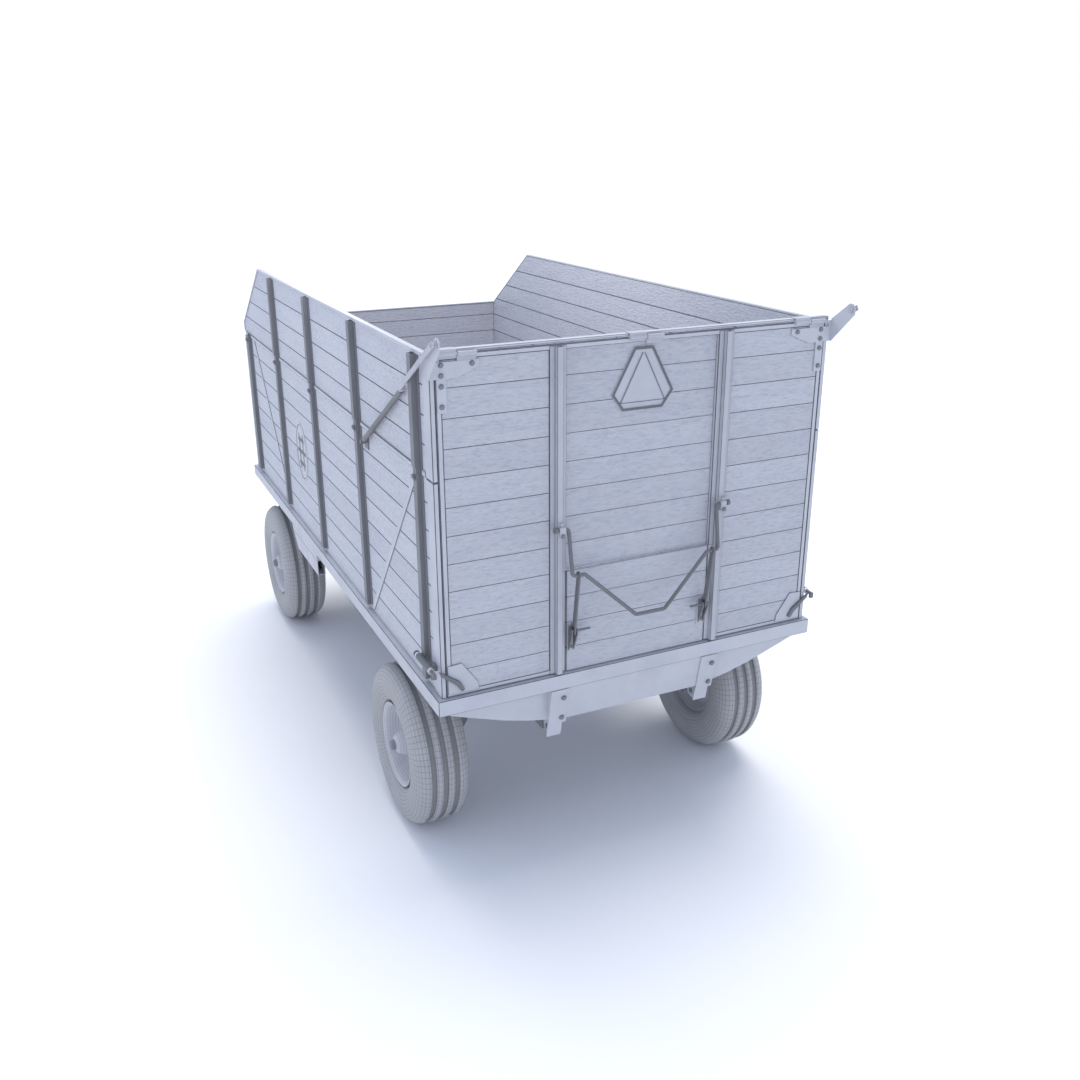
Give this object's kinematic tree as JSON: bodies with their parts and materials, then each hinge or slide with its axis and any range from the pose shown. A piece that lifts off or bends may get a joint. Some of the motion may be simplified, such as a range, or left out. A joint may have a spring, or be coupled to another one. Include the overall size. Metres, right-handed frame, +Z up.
{
  "type": "farm dump wagon",
  "caption": "High-sided board grain wagon on a steering four-wheel gear, with top-hung tailgate, lever-lifted grain door, telescopic gate stays and drawbar.",
  "frame": {"origin": "on the ground under the centre of the bounding box", "axes": "+X to the wagon's right seen from behind, +Y forward towards the drawbar, +Z up; the tailgate faces -Y"},
  "size_m": [2.298, 6.598, 2.9316],
  "materials": {
    "board_paint": "painted boards, satin",
    "floor_wood": "bare planks, matt",
    "steel_pale": "pale paint, satin",
    "steel_dark": "dark grey paint, satin",
    "gear_paint": "dark grey paint, satin",
    "rim_paint": "grey paint, satin",
    "bright_steel": "worn steel",
    "tyre": "dusty rubber"
  },
  "bodies": {
    "chassis": {"chassis_rails": "gear_paint", "rear_axle": "gear_paint", "front_axle": "gear_paint"},
    "box": {"floor_planks": "floor_wood", "bed_sills": "steel_pale", "floor_frame": "steel_pale", "rear_beam": "steel_pale", "rear_brackets": "steel_pale", "wheel_guards": "steel_pale", "side_boards_left": "board_paint", "side_boards_right": "board_paint", "extension_left": "board_paint", "extension_right": "board_paint", "front_boards": "board_paint", "stakes_left": "steel_dark", "stakes_right": "steel_dark", "front_stakes": "steel_dark", "corner_posts": "steel_pale", "seam_rails": "steel_pale", "top_rails": "steel_pale", "side_braces": "steel_dark", "header_bar": "steel_pale", "box_hinges": "steel_dark", "side_fittings": "steel_dark", "side_badge": "steel_pale"},
    "tailgate": {"gate_frame": "steel_pale", "gate_boards": "board_paint", "gate_stakes": "steel_dark", "gate_hinges": "steel_dark", "corner_gussets": "steel_dark", "striker_bars": "steel_dark", "slow_emblem": "steel_pale", "bail_clamps": "steel_dark"},
    "grain_door": {"door_boards": "board_paint", "door_brackets": "steel_dark"},
    "bail": {"bail_rod": "steel_dark"},
    "link_left": {"link_left": "steel_dark"},
    "link_right": {"link_right": "steel_dark"},
    "stay_tube_left": {"stay_tube_left": "steel_dark"},
    "stay_tube_right": {"stay_tube_right": "steel_dark"},
    "stay_bar_left": {"stay_bar_left": "steel_dark"},
    "stay_bar_right": {"stay_bar_right": "steel_dark"},
    "latch_left": {"latch_shaft_left": "steel_dark"},
    "latch_right": {"latch_shaft_right": "steel_dark"},
    "knuckle_left": {"knuckle_left": "gear_paint"},
    "knuckle_right": {"knuckle_right": "gear_paint"},
    "tie_rod_left": {"tie_rod_left": "gear_paint"},
    "tie_rod_right": {"tie_rod_right": "gear_paint"},
    "steer_plate": {"steer_plate": "gear_paint"},
    "tongue": {"drawbar": "gear_paint", "hitch_clevis": "bright_steel"},
    "wheel_front_left": {"tyre_front_left": "tyre", "rim_front_left": "rim_paint"},
    "wheel_front_right": {"tyre_front_right": "tyre", "rim_front_right": "rim_paint"},
    "wheel_rear_left": {"tyre_rear_left": "tyre", "rim_rear_left": "rim_paint"},
    "wheel_rear_right": {"tyre_rear_right": "tyre", "rim_rear_right": "rim_paint"}
  },
  "joints": [
    {"name": "box_tip", "type": "hinge", "parent": "chassis", "child": "box", "pos_m": [0, -3.029, 0.79], "axis": [1, 0, 0], "range_deg": [0, 40]},
    {"name": "gate_swing", "type": "hinge", "parent": "box", "child": "tailgate", "pos_m": [0, -3.133, 2.834], "axis": [-1, 0, 0], "range_deg": [0, 45]},
    {"name": "stay_foot_left", "type": "hinge", "parent": "box", "child": "stay_tube_left", "pos_m": [-1.11, -2.052, 2.186], "axis": [-1, 0, 0], "range_deg": [-0.5, 6]},
    {"name": "stay_slide_left", "type": "slide", "parent": "stay_tube_left", "child": "stay_bar_left", "axis": [0, -0.8613, 0.508], "range_m": [-0.03, 0.002]},
    {"name": "stay_foot_right", "type": "hinge", "parent": "box", "child": "stay_tube_right", "pos_m": [1.11, -2.052, 2.186], "axis": [-1, 0, 0], "range_deg": [-0.5, 6]},
    {"name": "stay_slide_right", "type": "slide", "parent": "stay_tube_right", "child": "stay_bar_right", "axis": [0, -0.8613, 0.508], "range_m": [-0.03, 0.002]},
    {"name": "bail_swing", "type": "hinge", "parent": "tailgate", "child": "bail", "pos_m": [0, -3.166, 1.942], "axis": [-1, 0, 0], "range_deg": [0, 40]},
    {"name": "door_lift", "type": "slide", "parent": "tailgate", "child": "grain_door", "axis": [0, 0, 1], "range_m": [0, 0.14]},
    {"name": "link_left", "type": "hinge", "parent": "bail", "child": "link_left", "pos_m": [-0.39, -3.2074, 1.70722], "axis": [1, 0, 0], "range_deg": [0, 68]},
    {"name": "link_right", "type": "hinge", "parent": "bail", "child": "link_right", "pos_m": [0.39, -3.2074, 1.70722], "axis": [1, 0, 0], "range_deg": [0, 68]},
    {"name": "latch_left", "type": "hinge", "parent": "box", "child": "latch_left", "pos_m": [-1.131, -3.021, 1.292], "axis": [0, 1, 0], "range_deg": [0, 90]},
    {"name": "latch_right", "type": "hinge", "parent": "box", "child": "latch_right", "pos_m": [1.131, -3.021, 1.292], "axis": [0, -1, 0], "range_deg": [0, 90]},
    {"name": "steer", "type": "hinge", "parent": "chassis", "child": "steer_plate", "pos_m": [0, 0.752, 0.406], "axis": [0, 0, 1], "range_deg": [-25, 25]},
    {"name": "king_pin_left", "type": "hinge", "parent": "chassis", "child": "knuckle_left", "pos_m": [-0.76, 0.752, 0.47], "axis": [0, 0, 1], "range_deg": [-25, 25]},
    {"name": "tie_rod_left", "type": "hinge", "parent": "knuckle_left", "child": "tie_rod_left", "pos_m": [-0.76, 0.952, 0.427], "axis": [0, 0, 1], "range_deg": [-25, 25]},
    {"name": "king_pin_right", "type": "hinge", "parent": "chassis", "child": "knuckle_right", "pos_m": [0.76, 0.752, 0.47], "axis": [0, 0, 1], "range_deg": [-25, 25]},
    {"name": "tie_rod_right", "type": "hinge", "parent": "knuckle_right", "child": "tie_rod_right", "pos_m": [0.76, 0.952, 0.448], "axis": [0, 0, 1], "range_deg": [-25, 25]},
    {"name": "tongue_lift", "type": "hinge", "parent": "steer_plate", "child": "tongue", "pos_m": [0, 1.082, 0.432], "axis": [1, 0, 0], "range_deg": [0, 30]},
    {"name": "spin_front_left", "type": "hinge", "parent": "knuckle_left", "child": "wheel_front_left", "pos_m": [-0.977, 0.752, 0.47], "axis": [1, 0, 0], "continuous": true},
    {"name": "spin_front_right", "type": "hinge", "parent": "knuckle_right", "child": "wheel_front_right", "pos_m": [0.977, 0.752, 0.47], "axis": [1, 0, 0], "continuous": true},
    {"name": "spin_rear_left", "type": "hinge", "parent": "chassis", "child": "wheel_rear_left", "pos_m": [-0.977, -2.347, 0.47], "axis": [1, 0, 0], "continuous": true},
    {"name": "spin_rear_right", "type": "hinge", "parent": "chassis", "child": "wheel_rear_right", "pos_m": [0.977, -2.347, 0.47], "axis": [1, 0, 0], "continuous": true}
  ],
  "couplings": [
    {"joint": "stay_foot_left", "follows": "gate_swing", "ratio": 0.10516},
    {"joint": "stay_slide_left", "follows": "gate_swing", "m_per_rad": -0.034992},
    {"joint": "link_left", "follows": "bail_swing", "ratio": 1.6776},
    {"joint": "king_pin_left", "follows": "steer", "ratio": 1},
    {"joint": "tie_rod_left", "follows": "steer", "ratio": -1},
    {"joint": "stay_foot_right", "follows": "gate_swing", "ratio": 0.10516},
    {"joint": "stay_slide_right", "follows": "gate_swing", "m_per_rad": -0.034992},
    {"joint": "link_right", "follows": "bail_swing", "ratio": 1.6776},
    {"joint": "king_pin_right", "follows": "steer", "ratio": 1},
    {"joint": "tie_rod_right", "follows": "steer", "ratio": -1},
    {"joint": "door_lift", "follows": "bail_swing", "m_per_rad": 0.19761}
  ]
}
